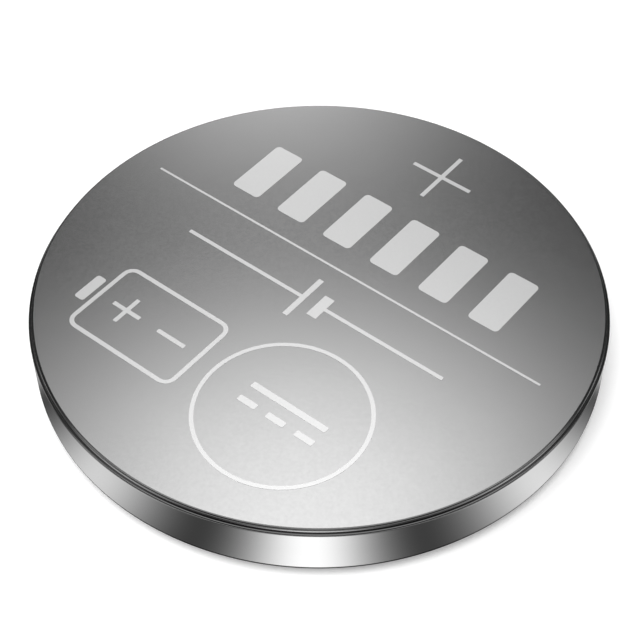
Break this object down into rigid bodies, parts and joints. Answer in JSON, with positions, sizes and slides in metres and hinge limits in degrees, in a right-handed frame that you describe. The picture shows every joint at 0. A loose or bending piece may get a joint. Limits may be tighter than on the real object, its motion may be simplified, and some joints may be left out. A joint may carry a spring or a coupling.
{
  "type": "lithium coin cell",
  "caption": "Flat round lithium coin cell: a steel can with a stepped rim, crimped over a sealing ring and a raised negative cap, with its electrodes inside.",
  "frame": {"origin": "middle of the negative cap's flat face, on which the cell rests", "axes": "+Z along the cell's axis, from the negative face to the positive face; the cell is round, so X and Y are free"},
  "size_m": [0.0244, 0.0244, 0.003],
  "materials": {
    "can_steel": "nickel-plated stainless steel, satin face and polished wall",
    "gasket_plastic": "moulded polypropylene with a film of sealant",
    "cap_steel": "nickel-plated stainless steel, satin",
    "lithium": "rolled foil, dull",
    "separator_felt": "non-woven polypropylene, soaked",
    "cathode_mix": "pressed powder, dull",
    "ring_steel": "plain stainless steel sheet"
  },
  "bodies": {
    "root": {"positive_can": "can_steel", "sealing_gasket": "gasket_plastic", "negative_cap": "cap_steel", "lithium_anode": "lithium", "separator": "separator_felt", "cathode_pellet": "cathode_mix", "cathode_ring": "ring_steel"}
  },
  "joints": []
}
